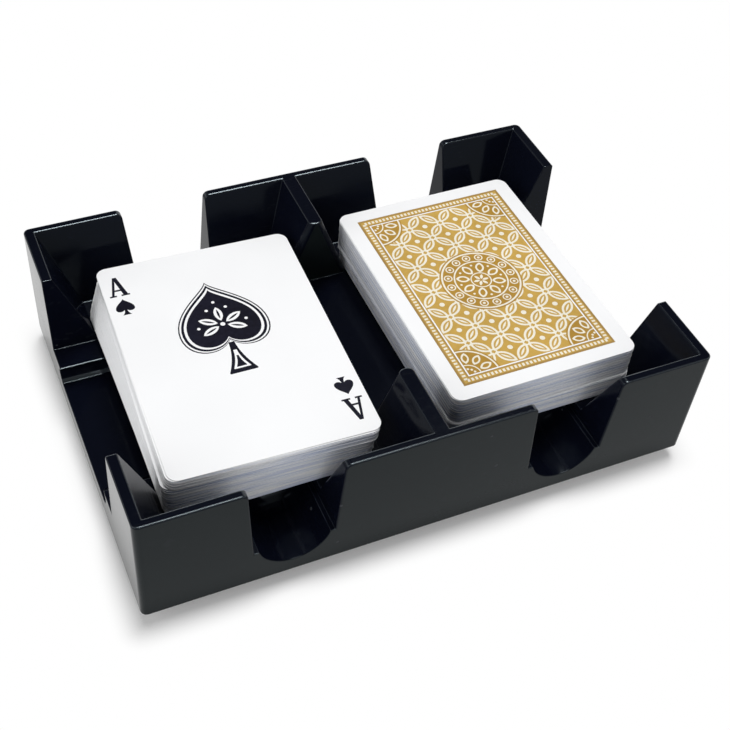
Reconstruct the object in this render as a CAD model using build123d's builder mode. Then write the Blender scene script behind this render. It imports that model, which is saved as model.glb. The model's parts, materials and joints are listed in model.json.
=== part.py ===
from build123d import *
import os
from math import sin

os.makedirs("parts", exist_ok=True)

# A double card tray that turns on a low round base and holds two packs of cards.
# Millimetres. Origin on the table under the pivot, +Z up, front towards -Y.

# Tray: outside, rim and floor, with heights counted from the tray's lower edge
tray_width = 179.4
tray_depth = 123.6
tray_height = 41.3
tray_lift = 5.0
corner_radius = 2.0
rim_fillet = 0.5
rim_side = 3.2
rim_front = 2.5
side_slope = 0.425
front_slope = 0.417
card_floor = 16.5
ledge_height = 13.0
shell = 2.0
overrun = 1.0

# Finger notches in the front and rear walls, two to each wall
notch_centre = 44.0
notch_half = 14.1
notch_closing = 2.57
notch_corner = 2.0
notch_reach = 21.0
scoop_radius = 11.26
scoop_low = 4.8
scoop_reach = 24.0
scoop_end_fillet = 7.0

# Openings in the two side walls, each with a lower recess in the middle
opening_half = 36.1
opening_closing = 2.42
opening_corner = 3.0
opening_reach = 22.0
recess_half = 29.1
recess_foot_half = 25.5
recess_low = 6.65
recess_fillet = 2.5
recess_reach = 26.0

# Dividers that stand in from the front and rear walls
divider_half = 2.3
divider_slope = 0.39
divider_nose = 34.0
divider_fillet = 2.0

# Base, pivot and feet, with heights counted from the table
base_radius = 52.0
base_under = 1.2
base_top = 6.6
base_wall = 2.0
base_fillet = 1.0
hub_radius = 9.0
hub_top = 9.0
head_room = 6.4
boss_radius = 8.0
screw_radius = 2.5
screw_play = 0.08
thread_radius = 1.8
thread_top = 17.0
head_radius = 5.0
head_height = 1.8
head_fillet = 0.5
slot_width = 1.2
slot_depth = 0.8
washer_thick = 0.36
washer_gap = 0.02
washer_bore = 2.6
thrust_washer_radius = 7.5
screw_washer_radius = 5.5
track_ring = 23.0
track_width = 2.0
track_play = 0.3
rib_thick = 1.4
rib_count = 4
foot_count = 4
foot_circle = 41.0
foot_radius = 5.0
foot_height = 2.0
foot_play = 0.1
foot_seat_wall = 1.5

# Cards, and how the two packs lie
card_width = 63.5
card_length = 88.9
card_corner = 3.3
card_thick = 0.30
card_pitch = 0.315
pack_size = 54
top_card = pack_size - 1
card_sway = 0.1

rim_level = tray_lift + tray_height
floor_level = tray_lift + card_floor
side_mouth = tray_width / 2 - rim_side
front_mouth = tray_depth / 2 - rim_front
hub_under = base_top - base_wall


def divider(wall):
    """Front divider between the compartments, drawn in by a wall's thickness."""
    floor = card_floor - wall
    top_half = divider_half - wall
    foot_half = top_half + divider_slope * (tray_height - floor)
    nose = divider_nose + wall
    with BuildPart() as wedge:
        with BuildSketch(Plane.XZ.offset(nose)):
            with BuildLine():
                Polyline(
                    (-top_half, rim_level),
                    (-foot_half, tray_lift + floor),
                    (foot_half, tray_lift + floor),
                    (top_half, rim_level),
                    close=True,
                )
            make_face()
        extrude(amount=tray_depth / 2 - nose)
        if wall == 0:
            flanks = wedge.edges().group_by(Axis.Y)[-1].filter_by(Axis.X, reverse=True)
            fillet(flanks, radius=divider_fillet)
    return wedge.part


def compartments(wall):
    """Both compartments as one sunk form, with the dividers left standing."""
    floor = card_floor - wall
    drop = tray_height - floor
    half_x = side_mouth + wall - side_slope * drop
    half_y = front_mouth + wall - front_slope * drop
    front_divider = divider(wall)
    with BuildPart() as sunk:
        with BuildSketch(Plane.XY.offset(tray_lift + floor)):
            Rectangle(2 * half_x, 2 * half_y)
        with BuildSketch(Plane.XY.offset(rim_level)):
            Rectangle(2 * (side_mouth + wall), 2 * (front_mouth + wall))
        loft()
        add(front_divider, mode=Mode.SUBTRACT)
        add(mirror(front_divider, about=Plane.XZ, mode=Mode.PRIVATE), mode=Mode.SUBTRACT)
    return sunk.part


def scoop(wall):
    """Round finger trough that runs in under the cards from a front notch."""
    face = Plane.XZ.offset(tray_depth / 2 + overrun)
    centre_height = tray_lift + scoop_low + scoop_radius
    with BuildPart() as trough:
        with BuildSketch(face):
            with Locations((notch_centre, centre_height)):
                Circle(scoop_radius + wall)
        extrude(amount=-(overrun + scoop_reach + wall))
        fillet(trough.edges().group_by(Axis.Y)[-1], radius=scoop_end_fillet)
    return trough.part


def notch(wall):
    """Front right notch with its scoop, as the form that is cut away."""
    face = Plane.XZ.offset(tray_depth / 2 + overrun)
    top = rim_level - wall
    bottom = tray_lift + ledge_height - wall
    closing_rate = notch_closing / tray_height
    top_half = notch_half + wall - closing_rate * wall
    foot_half = top_half - closing_rate * (top - bottom)
    mouth_half = top_half + 2 * notch_corner
    with BuildPart() as gap:
        with BuildSketch(face) as outline:
            with BuildLine():
                Polyline(
                    (notch_centre - foot_half, bottom),
                    (notch_centre - top_half, top),
                    (notch_centre - mouth_half, top),
                    (notch_centre - mouth_half, top + shell + overrun),
                    (notch_centre + mouth_half, top + shell + overrun),
                    (notch_centre + mouth_half, top),
                    (notch_centre + top_half, top),
                    (notch_centre + foot_half, bottom),
                    close=True,
                )
            make_face()
            rim_corners = outline.vertices().filter_by(
                lambda v: abs(abs(v.X - notch_centre) - top_half) < 0.01
            )
            fillet(rim_corners, radius=notch_corner)
        extrude(amount=-(overrun + notch_reach + wall))
        add(scoop(wall))
    return gap.part


def side_opening(wall):
    """Opening in the right side wall with its recess, as the form cut away."""
    face = Plane.YZ.offset(tray_width / 2 + overrun)
    top = rim_level - wall
    bottom = tray_lift + ledge_height - wall
    closing_rate = opening_closing / tray_height
    top_half = opening_half + wall - closing_rate * wall
    foot_half = top_half - closing_rate * (top - bottom)
    mouth_half = top_half + 2 * opening_corner
    with BuildPart() as gap:
        with BuildSketch(face) as outline:
            with BuildLine():
                Polyline(
                    (-foot_half, bottom),
                    (-top_half, top),
                    (-mouth_half, top),
                    (-mouth_half, top + shell + overrun),
                    (mouth_half, top + shell + overrun),
                    (mouth_half, top),
                    (top_half, top),
                    (foot_half, bottom),
                    close=True,
                )
            make_face()
            rim_corners = outline.vertices().filter_by(
                lambda v: abs(abs(v.Y) - top_half) < 0.01
            )
            fillet(rim_corners, radius=opening_corner)
        extrude(amount=-(overrun + opening_reach + wall))
        with BuildSketch(face) as hollow:
            with BuildLine():
                Polyline(
                    (-recess_half - wall, bottom),
                    (-recess_foot_half - wall, tray_lift + recess_low - wall),
                    (recess_foot_half + wall, tray_lift + recess_low - wall),
                    (recess_half + wall, bottom),
                    close=True,
                )
            make_face()
            foot_corners = hollow.vertices().group_by(Axis.Z)[0]
            fillet(foot_corners, radius=recess_fillet)
        extrude(amount=-(overrun + recess_reach + wall))
    return gap.part


def tray_form(wall):
    """The tray's whole form, every face drawn in by a wall's thickness."""
    front_right = notch(wall)
    right = side_opening(wall)
    front_left = mirror(front_right, about=Plane.YZ)
    with BuildPart() as form:
        with BuildSketch(Plane.XY.offset(tray_lift)):
            RectangleRounded(
                tray_width - 2 * wall, tray_depth - 2 * wall, corner_radius
            )
        extrude(amount=tray_height - wall)
        add(compartments(wall), mode=Mode.SUBTRACT)
        for gap in (front_right, front_left):
            add(gap, mode=Mode.SUBTRACT)
            add(mirror(gap, about=Plane.XZ, mode=Mode.PRIVATE), mode=Mode.SUBTRACT)
        add(right, mode=Mode.SUBTRACT)
        add(mirror(right, about=Plane.YZ, mode=Mode.PRIVATE), mode=Mode.SUBTRACT)
    return form.part


# Turning tray: one moulding, open from beneath, with a hub boss and ribs
underside = tray_form(shell)
outside = tray_form(0)
boss_bottom = hub_top + washer_thick + 2 * washer_gap
ceiling = floor_level - shell
with BuildPart() as turning_tray:
    add(outside)
    rim_edges = turning_tray.edges().group_by(Axis.Z)[-1]
    long_rim_edges = rim_edges.filter_by(lambda e: e.length > 2 * rim_side)
    fillet(long_rim_edges, radius=rim_fillet)
    add(underside, mode=Mode.SUBTRACT)
    with BuildSketch(Plane.XY.offset(boss_bottom)):
        Circle(boss_radius)
    extrude(amount=ceiling - boss_bottom)
    with BuildSketch(Plane.XY.offset(base_top + track_play)):
        Circle(track_ring + track_width / 2)
        Circle(track_ring - track_width / 2, mode=Mode.SUBTRACT)
    extrude(amount=ceiling - base_top - track_play)
    with BuildSketch(Plane.XY.offset(boss_bottom)):
        with PolarLocations(track_ring / 2, rib_count):
            Rectangle(track_ring, rib_thick)
    extrude(amount=ceiling - boss_bottom)
    with BuildSketch(Plane.XY.offset(boss_bottom)):
        Circle(thread_radius)
    extrude(amount=thread_top - boss_bottom, mode=Mode.SUBTRACT)
turning_tray.part.label = "turning_tray"
export_step(turning_tray.part, "parts/turning_tray.step")

# Round base: a shallow dish with a hub, foot seats and a raised track for the tray
seat_radius = foot_radius + foot_seat_wall
with BuildPart() as round_base:
    with BuildSketch(Plane.XY.offset(base_under)):
        Circle(base_radius)
    extrude(amount=base_top - base_under)
    fillet(round_base.edges().group_by(Axis.Z)[-1], radius=base_fillet)
    with BuildSketch(Plane.XY.offset(base_under)):
        Circle(base_radius - base_wall)
    extrude(amount=hub_under - base_under, mode=Mode.SUBTRACT)
    with BuildSketch(Plane.XY.offset(hub_under)):
        Circle(hub_radius)
    extrude(amount=hub_top - hub_under)
    with BuildSketch(Plane.XY.offset(base_under)):
        Circle(hub_radius)
        Circle(head_room, mode=Mode.SUBTRACT)
        with PolarLocations(foot_circle, foot_count, start_angle=45):
            Circle(seat_radius)
    extrude(amount=hub_under - base_under)
    with BuildSketch(Plane.XY.offset(base_top)):
        Circle(track_ring + track_width)
        Circle(track_ring - track_width, mode=Mode.SUBTRACT)
    extrude(amount=track_play / 2)
    with BuildSketch(Plane.XY.offset(base_under)):
        with PolarLocations(foot_circle, foot_count, start_angle=45):
            Circle(foot_radius + foot_play)
    extrude(amount=foot_height - base_under, mode=Mode.SUBTRACT)
    with BuildSketch(Plane.XY.offset(hub_under)):
        Circle(screw_radius + screw_play)
    extrude(amount=hub_top - hub_under, mode=Mode.SUBTRACT)
round_base.part.label = "round_base"
export_step(round_base.part, "parts/round_base.step")

# Rubber feet, seated in the base
with BuildPart() as rubber_feet:
    with BuildSketch():
        with PolarLocations(foot_circle, foot_count, start_angle=45):
            Circle(foot_radius)
    extrude(amount=foot_height)
rubber_feet.part.label = "rubber_feet"
export_step(rubber_feet.part, "parts/rubber_feet.step")

# Pivot screw: slotted head under the hub, plain shoulder, thread in the tray's boss
washer_level = hub_under - washer_gap - washer_thick
head_top = washer_level - washer_gap
head_bottom = head_top - head_height
with BuildPart() as pivot_screw:
    with BuildSketch(Plane.XY.offset(head_bottom)):
        Circle(head_radius)
    extrude(amount=head_height)
    fillet(pivot_screw.edges().group_by(Axis.Z)[0], radius=head_fillet)
    with BuildSketch(Plane.XY.offset(head_top)):
        Circle(screw_radius)
    extrude(amount=boss_bottom - head_top)
    with BuildSketch(Plane.XY.offset(boss_bottom)):
        Circle(thread_radius)
    extrude(amount=thread_top - boss_bottom)
    with BuildSketch(Plane.XY.offset(head_bottom)):
        Rectangle(2 * head_radius, slot_width)
    extrude(amount=slot_depth, mode=Mode.SUBTRACT)
pivot_screw.part.label = "pivot_screw"
export_step(pivot_screw.part, "parts/pivot_screw.step")

# Washers: one under the screw's head side of the hub, one between hub and boss
with BuildPart() as screw_washer:
    with BuildSketch(Plane.XY.offset(washer_level)):
        Circle(screw_washer_radius)
        Circle(washer_bore, mode=Mode.SUBTRACT)
    extrude(amount=washer_thick)
screw_washer.part.label = "screw_washer"
export_step(screw_washer.part, "parts/screw_washer.step")

with BuildPart() as thrust_washer:
    with BuildSketch(Plane.XY.offset(hub_top + washer_gap)):
        Circle(thrust_washer_radius)
        Circle(washer_bore, mode=Mode.SUBTRACT)
    extrude(amount=washer_thick)
thrust_washer.part.label = "thrust_washer"
export_step(thrust_washer.part, "parts/thrust_washer.step")

# One card, centred on the origin, that every card in both packs copies
with BuildPart() as card:
    with BuildSketch():
        RectangleRounded(card_width, card_length, card_corner)
    extrude(amount=card_thick)


def between(start, end, share):
    """Lie of a card, given as x, y and turn, part of the way from start to end."""
    return [a + (b - a) * share for a, b in zip(start, end)]


def spot(index, x, y, turn):
    """Place of a card in its pack, with the small stray of a pack set down by hand."""
    stray_x = card_sway * sin(2.4 * index)
    stray_y = card_sway * sin(1.7 * index + 1)
    height = floor_level + index * card_pitch
    return Location((x + stray_x, y + stray_y, height), (0, 0, turn))


def pile(spots, name):
    """Write a pile of cards as one node of separate cards."""
    with BuildPart() as cards:
        with Locations(*spots):
            add(card.part)
    cards.part.label = name
    export_step(cards.part, f"parts/{name}.step")


# Left pack, face up: the lowest cards fan out a little from square, the cards above
# turn step by step, the upper cards turn back, and the top card lies across them
fan_cards = 8
left_split = 42
turned_cards = left_split - fan_cards
upper_cards = top_card - left_split
first_lie = (-43.95, -1.3, -0.05)
fanned_lie = (-44.2, -1.3, -1.0)
turned_lie = (-42.65, -1.8, -3.2)
upper_lie = (-42.15, -2.2, -2.9)
last_lie = (-41.8, -1.8, -2.4)
left_top_lie = (-41.75, -1.5, -1.97)
left_lower = [
    spot(i, *between(first_lie, fanned_lie, i / fan_cards)) for i in range(fan_cards)
]
left_lower += [
    spot(i, *between(fanned_lie, turned_lie, (i - fan_cards) / turned_cards))
    for i in range(fan_cards, left_split)
]
left_upper = [
    spot(i, *between(upper_lie, last_lie, (i - left_split) / upper_cards))
    for i in range(left_split, top_card)
]
pile(left_lower, "left_lower_cards")
pile(left_upper, "left_upper_cards")
pile([spot(top_card, *left_top_lie)], "left_top_card")

# Right pack, back up: three cards stand out between its lower and upper cards
right_split = 20
ledge_end = 23
right_lower_lie = (43.85, -1.3, 0.0)
ledge_lie = (43.1, -1.7, 0.5)
right_upper_lie = (43.5, -1.0, 0.53)
right_top_lie = (43.55, -0.9, 0.51)
right_lower = [spot(i, *right_lower_lie) for i in range(right_split)]
right_upper = [spot(i, *ledge_lie) for i in range(right_split, ledge_end)]
right_upper += [spot(i, *right_upper_lie) for i in range(ledge_end, top_card)]
pile(right_lower, "right_lower_cards")
pile(right_upper, "right_upper_cards")
pile([spot(top_card, *right_top_lie)], "right_top_card")
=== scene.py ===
"""Looks of the revolving card tray: finishes, the print on the cards, and the stage."""

import json
from math import atan2, cos, hypot, pi, radians, sin

import bmesh
import bpy
from bpy.props import (
    FloatProperty,
    FloatVectorProperty,
    IntProperty,
    PointerProperty,
)
from mathutils import Euler, Matrix, Vector
from mathutils.geometry import interpolate_bezier

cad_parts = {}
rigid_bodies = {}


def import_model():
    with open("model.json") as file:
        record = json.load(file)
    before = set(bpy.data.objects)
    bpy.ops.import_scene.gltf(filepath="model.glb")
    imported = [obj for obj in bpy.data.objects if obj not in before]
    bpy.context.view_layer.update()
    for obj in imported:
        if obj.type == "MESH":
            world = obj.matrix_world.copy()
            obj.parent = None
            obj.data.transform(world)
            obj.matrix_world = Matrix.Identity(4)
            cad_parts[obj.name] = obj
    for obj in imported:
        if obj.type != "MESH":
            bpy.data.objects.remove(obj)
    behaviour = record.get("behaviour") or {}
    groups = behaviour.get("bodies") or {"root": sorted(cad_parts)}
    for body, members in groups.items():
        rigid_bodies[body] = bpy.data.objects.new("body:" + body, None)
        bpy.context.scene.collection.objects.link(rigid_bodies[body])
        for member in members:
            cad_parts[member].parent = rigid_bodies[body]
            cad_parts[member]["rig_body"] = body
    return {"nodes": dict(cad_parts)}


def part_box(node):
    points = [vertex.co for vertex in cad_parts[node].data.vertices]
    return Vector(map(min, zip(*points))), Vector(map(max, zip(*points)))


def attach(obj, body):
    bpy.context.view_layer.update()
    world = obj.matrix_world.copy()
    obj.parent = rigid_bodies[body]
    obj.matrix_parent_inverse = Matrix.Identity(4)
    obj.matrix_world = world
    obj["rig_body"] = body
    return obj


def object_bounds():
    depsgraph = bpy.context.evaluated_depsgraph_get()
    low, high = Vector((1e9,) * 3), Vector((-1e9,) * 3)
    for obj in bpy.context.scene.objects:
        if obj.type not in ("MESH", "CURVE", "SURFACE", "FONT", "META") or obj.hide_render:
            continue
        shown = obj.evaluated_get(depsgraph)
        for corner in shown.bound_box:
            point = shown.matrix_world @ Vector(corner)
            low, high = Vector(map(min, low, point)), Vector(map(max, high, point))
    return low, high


bl_info = {
    "name": "Revolving Card Tray",
    "version": (1, 0, 0),
    "blender": (4, 5, 0),
    "location": "View3D > Sidebar > Card Tray",
    "description": "Finishes, card print and stage for a revolving double card tray",
    "category": "Add Mesh",
}

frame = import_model()
CAD_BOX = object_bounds()
CARD_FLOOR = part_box("left_lower_cards")[0].z
CARD_PITCH = 0.000315
MM = 0.001

# The scoops of the long walls start this far under the card floor, and they reach no
# further out than this from the middle of the tray
SCOOP_DEPTH = 0.004
SCOOP_REACH = 0.061

# Radius of the worn track on the base
TRACK_RADIUS = 0.023

# Heights of the layers of ink over the card, in millimetres
INK_SUNK = -0.01
INK_FIRST = 0.02
INK_SECOND = 0.04
INK_OVER = 0.05
INK_THIRD = 0.06
INK_FOURTH = 0.08

# The second card of each pack: its turn, its node, and how far it lies from the top
# card in millimetres. Its ink is thinned to this share, to fit under the top card
SECOND_LEFT = (radians(-2.45), "left_upper_cards", (-0.08, -0.34))
SECOND_RIGHT = (radians(0.53), "right_upper_cards", (-0.05, -0.1))
COVERED_INK = 0.15


# ---- settings ----


def colour_setting(name, description, default):
    """Colour in a settings group."""
    return FloatVectorProperty(
        name=name, description=description, subtype="COLOR", default=default
    )


def angle_setting(name, description, degrees):
    """Angle in a settings group, given in degrees."""
    return FloatProperty(
        name=name, description=description, subtype="ANGLE", default=radians(degrees)
    )


def strength_setting(name, description, default):
    """Strength of a lamp in a settings group."""
    return FloatProperty(name=name, description=description, default=default, min=0.0)


class TrayFinish(bpy.types.PropertyGroup):
    """Colours and wear of the tray, its base and its fittings."""

    plastic_colour: colour_setting(
        "Plastic Colour", "Black of the moulded tray", (0.0022, 0.0029, 0.0068)
    )
    plastic_roughness: FloatProperty(
        name="Plastic Roughness",
        description="Roughness of the tray where it is clean",
        default=0.09,
        min=0.0,
        max=1.0,
    )
    edge_round: FloatProperty(
        name="Edge Round",
        description="Radius that the moulded edges shade with",
        default=0.0005,
        unit="LENGTH",
        precision=5,
    )
    rubber_colour: colour_setting(
        "Rubber Colour", "Dark grey of the feet", (0.018, 0.018, 0.019)
    )


class CardFinish(bpy.types.PropertyGroup):
    """Colours of the card stock and its inks, and how the top cards lie."""

    stock_colour: colour_setting(
        "Stock Colour", "White of the cards' faces", (0.87, 0.875, 0.885)
    )
    # Painted shade: cool grey for the card ends, the right pack and the joins between
    # cards
    edge_shade_colour: colour_setting(
        "Edge Colour", "Cool grey of the darker cut edges", (0.50, 0.56, 0.73)
    )
    black_ink: colour_setting(
        "Black Ink", "Black of the indices and the spade", (0.006, 0.006, 0.014)
    )
    red_ink: colour_setting(
        "Red Ink",
        "Red of the diamonds on the second card of the left pack",
        (0.48, 0.012, 0.022),
    )
    gold_ink: colour_setting(
        "Gold Ink", "Gold ground of the card back", (0.53, 0.335, 0.078)
    )
    deep_gold_ink: colour_setting(
        "Deep Gold Ink",
        "Deeper gold under the medallion and the corner fans",
        (0.41, 0.235, 0.038),
    )
    bronze_ink: colour_setting(
        "Bronze Ink", "Darker gold of the frame lines", (0.36, 0.225, 0.065)
    )
    cream_ink: colour_setting(
        "Cream Ink", "Cream of the ornament on the gold ground", (0.82, 0.78, 0.66)
    )
    left_turn: angle_setting(
        "Left Card Turn", "How far the left top card is turned on its pack", -1.97
    )
    right_turn: angle_setting(
        "Right Card Turn", "How far the right top card is turned on its pack", 0.51
    )
    field_columns: IntProperty(
        name="Field Columns",
        description="Leaves across the ground of the card back",
        default=8,
        min=3,
    )
    field_rows: IntProperty(
        name="Field Rows",
        description="Leaves along the ground of the card back",
        default=12,
        min=3,
    )


class StageSettings(bpy.types.PropertyGroup):
    """Camera, lamps and floor."""

    camera_place: FloatVectorProperty(
        name="Camera Place",
        description="Where the camera stands",
        subtype="TRANSLATION",
        unit="LENGTH",
        default=(-0.124258, -0.245141, 0.306796),
    )
    camera_azimuth: angle_setting(
        "Camera Azimuth", "Direction of view round the object, from the front", -26.470
    )
    camera_elevation: angle_setting(
        "Camera Elevation", "Angle at which the camera looks down", 46.629
    )
    camera_roll: angle_setting(
        "Camera Roll", "Turn of the camera about its line of view", 4.850
    )
    lens: FloatProperty(
        name="Lens",
        description="Focal length on a 36 mm sensor",
        default=60.397,
        min=1.0,
    )
    shift_x: FloatProperty(
        name="Shift X", description="Sideways shift of the lens", default=0.02590
    )
    shift_y: FloatProperty(
        name="Shift Y", description="Upward shift of the lens", default=-0.00878
    )
    key_strength: strength_setting(
        "Key Strength", "Strength of the overhead soft light", 1.66
    )
    rear_strength: strength_setting(
        "Rear Strength", "Strength of the lamp behind, which draws the edges", 0.5
    )
    side_strength: strength_setting(
        "Side Strength", "Strength of the soft fill from the left", 1.1
    )
    floor_size: FloatProperty(
        name="Floor Size",
        description="Radius of the floor",
        default=6.0,
        unit="LENGTH",
    )


# ---- node helpers ----


def feed(tree, socket, value):
    """Link an input to the socket that is given as its value, or set its value."""
    if isinstance(value, bpy.types.NodeSocket):
        tree.links.new(value, socket)
    else:
        socket.default_value = value


def add_node(tree, kind, inputs=None, **settings):
    """New node with its settings, then its inputs."""
    made = tree.nodes.new(kind)
    for name, value in settings.items():
        setattr(made, name, value)
    for key, value in (inputs or {}).items():
        feed(tree, made.inputs[key], value)
    return made


def math_node(tree, operation, first, second=0.0, third=0.0, clamp=False):
    """Output of a Math node."""
    values = {0: first, 1: second, 2: third}
    made = add_node(tree, "ShaderNodeMath", values, operation=operation)
    made.use_clamp = clamp
    return made.outputs[0]


def ranged(tree, value, low, high, to_low=0.0, to_high=1.0):
    """Value mapped smoothly from one range to another."""
    inputs = {
        "Value": value,
        "From Min": low,
        "From Max": high,
        "To Min": to_low,
        "To Max": to_high,
    }
    made = add_node(
        tree, "ShaderNodeMapRange", inputs, interpolation_type="SMOOTHSTEP"
    )
    return made.outputs["Result"]


def noise(tree, vector, scale, detail):
    """Value of a noise texture."""
    inputs = {"Vector": vector, "Scale": scale, "Detail": detail}
    return add_node(tree, "ShaderNodeTexNoise", inputs).outputs["Fac"]


def stretched(tree, vector, scale, turn=(0.0, 0.0, 0.0)):
    """Coordinates turned, then scaled by an amount for each axis."""
    inputs = {"Vector": vector, "Scale": scale, "Rotation": turn}
    return add_node(tree, "ShaderNodeMapping", inputs).outputs["Vector"]


def off_axis(tree, place):
    """Distance from the pivot's axis."""
    flat = stretched(tree, place, (1.0, 1.0, 0.0))
    made = add_node(tree, "ShaderNodeVectorMath", {0: flat}, operation="LENGTH")
    return made.outputs["Value"]


def blended(tree, mask, first, second):
    """Colour mixed from two colours by a mask."""
    made = add_node(tree, "ShaderNodeMix", {"Factor": mask}, data_type="RGBA")
    for key, value in (("A", first), ("B", second)):
        socket = next(s for s in made.inputs if s.name == key and s.type == "RGBA")
        feed(tree, socket, value)
    return next(s for s in made.outputs if s.type == "RGBA")


def new_group(name, inputs, outputs):
    """Shader node group; gives its tree, the sockets inside it and those out of it."""
    tree = bpy.data.node_groups.new(name, "ShaderNodeTree")
    for label, default in inputs.items():
        kind = "NodeSocketFloat" if default is not None else "NodeSocketVector"
        socket = tree.interface.new_socket(label, in_out="INPUT", socket_type=kind)
        if default is not None:
            socket.default_value = default
    for label in outputs:
        tree.interface.new_socket(label, in_out="OUTPUT", socket_type="NodeSocketFloat")
    entry = tree.nodes.new("NodeGroupInput")
    leave = tree.nodes.new("NodeGroupOutput")
    return tree, entry.outputs, leave.inputs


def use_group(tree, name, inputs):
    """Place a node group in a material; gives its outputs."""
    group = bpy.data.node_groups[name]
    return add_node(tree, "ShaderNodeGroup", inputs, node_tree=group).outputs


def opaque(colour, share=1.0):
    """Colour with its alpha, scaled by a share."""
    return (*(share * channel for channel in colour), 1.0)


# ---- shared effects ----


def make_scuff_group():
    """Fine straight scratches in two directions, in patches."""
    tree, entry, leave = new_group(
        "fine_scuffs",
        {"Vector": None, "Density": 0.5, "Scratch Scale": 300.0},
        ["Scratches"],
    )
    patches = ranged(tree, noise(tree, entry["Vector"], 38.0, 3.0), 0.46, 0.68)
    scratches = 0.0
    for turn, stretch in ((0.6, 22.0), (-0.9, 30.0)):
        along = stretched(tree, entry["Vector"], (1.0, stretch, 1.0), (0.2, 0.1, turn))
        streak = noise(tree, along, entry["Scratch Scale"], 1.0)
        thin = ranged(tree, streak, 0.66, 0.72)
        scratches = math_node(tree, "MAXIMUM", scratches, thin)
    shown = math_node(tree, "MULTIPLY", scratches, patches)
    amount = math_node(tree, "MULTIPLY", shown, entry["Density"], clamp=True)
    tree.links.new(amount, leave["Scratches"])


def make_dust_group():
    """Sparse specks of dust of uneven size."""
    tree, entry, leave = new_group(
        "dust_specks", {"Vector": None, "Speck Scale": 260.0, "Share": 0.1}, ["Specks"]
    )
    cells = add_node(
        tree,
        "ShaderNodeTexVoronoi",
        {"Vector": entry["Vector"], "Scale": entry["Speck Scale"], "Randomness": 1.0},
    )
    inputs = {"Color": cells.outputs["Color"]}
    chance = add_node(tree, "ShaderNodeSeparateColor", inputs).outputs
    chosen = math_node(tree, "LESS_THAN", chance[0], entry["Share"])
    size = math_node(tree, "MULTIPLY", chance[1], 0.16)
    near = math_node(tree, "LESS_THAN", cells.outputs["Distance"], size)
    tree.links.new(math_node(tree, "MULTIPLY", chosen, near), leave["Specks"])


def make_peel_group():
    """Slight waviness of a moulded gloss surface and its fine grain."""
    tree, entry, leave = new_group(
        "mould_peel",
        {"Vector": None, "Wave Scale": 140.0, "Grain Scale": 2600.0, "Grain": 0.2},
        ["Height"],
    )
    wave = noise(tree, entry["Vector"], entry["Wave Scale"], 1.0)
    grain = noise(tree, entry["Vector"], entry["Grain Scale"], 2.0)
    height = math_node(tree, "MULTIPLY_ADD", grain, entry["Grain"], wave)
    tree.links.new(height, leave["Height"])


def make_card_edge_group():
    """Tone and ridges of the cut edges of stacked cards, one band to each card, and
    painted shade on the card ends and the right pack.
    """
    tree, entry, leave = new_group(
        "card_edges",
        {"Vector": None, "Pitch": CARD_PITCH},
        ["Tone", "Ridge", "Side", "End"],
    )
    place = add_node(tree, "ShaderNodeSeparateXYZ", {"Vector": entry["Vector"]})
    above_floor = math_node(tree, "SUBTRACT", place.outputs["Z"], CARD_FLOOR)
    cards = math_node(tree, "DIVIDE", above_floor, entry["Pitch"])
    index = math_node(tree, "FLOOR", cards)
    own_tone = add_node(
        tree, "ShaderNodeTexWhiteNoise", {"W": index}, noise_dimensions="1D"
    )
    flat = stretched(tree, entry["Vector"], (45.0, 45.0, 0.0))
    drift = add_node(
        tree,
        "ShaderNodeTexNoise",
        {"Vector": flat, "W": index, "Scale": 1.0, "Detail": 1.0},
        noise_dimensions="4D",
    )
    wander = ranged(tree, drift.outputs["Fac"], 0.35, 0.65)
    few_cards = math_node(tree, "MULTIPLY", cards, 0.45)
    clump = add_node(
        tree,
        "ShaderNodeTexNoise",
        {"Vector": flat, "W": few_cards, "Scale": 0.5, "Detail": 2.0},
        noise_dimensions="4D",
    )
    clumps = ranged(tree, clump.outputs["Fac"], 0.40, 0.58)
    tone = math_node(tree, "MULTIPLY", own_tone.outputs["Value"], 0.35)
    tone = math_node(tree, "MULTIPLY_ADD", wander, 0.2, tone)
    tone = math_node(tree, "MULTIPLY_ADD", clumps, 0.45, tone)
    within = math_node(tree, "FRACT", cards)
    middle = math_node(tree, "SUBTRACT", within, 0.5)
    ridge = math_node(tree, "ABSOLUTE", middle)
    turned = add_node(tree, "ShaderNodeTexCoord").outputs["Normal"]
    facing = add_node(tree, "ShaderNodeSeparateXYZ", {"Vector": turned})
    upward = math_node(tree, "ABSOLUTE", facing.outputs["Z"])
    side = math_node(tree, "LESS_THAN", upward, 0.5)
    # Painted shade: faces along Y (the card ends) are marked, and then all sides of the
    # right pack
    endward = math_node(tree, "ABSOLUTE", facing.outputs["Y"])
    end = ranged(tree, endward, 0.3, 0.9)
    right_pack = math_node(tree, "GREATER_THAN", place.outputs["X"], 0.0)
    marked = math_node(tree, "MULTIPLY", right_pack, 0.75)
    end = math_node(tree, "MAXIMUM", end, marked)
    for name, value in (("Tone", tone), ("Ridge", ridge), ("Side", side), ("End", end)):
        tree.links.new(value, leave[name])


def make_linen_group():
    """Fine pressed weave of a card's faces."""
    tree, entry, leave = new_group(
        "pressed_linen", {"Vector": None, "Threads": 4200.0}, ["Height"]
    )
    place = add_node(tree, "ShaderNodeSeparateXYZ", {"Vector": entry["Vector"]})
    across = math_node(tree, "MULTIPLY", place.outputs["X"], entry["Threads"])
    along = math_node(tree, "MULTIPLY", place.outputs["Y"], entry["Threads"])
    weave = math_node(
        tree,
        "MULTIPLY",
        math_node(tree, "SINE", across),
        math_node(tree, "SINE", along),
    )
    tree.links.new(weave, leave["Height"])


def make_groups():
    """All shared effects."""
    make_scuff_group()
    make_dust_group()
    make_peel_group()
    make_card_edge_group()
    make_linen_group()


# ---- materials ----


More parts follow.
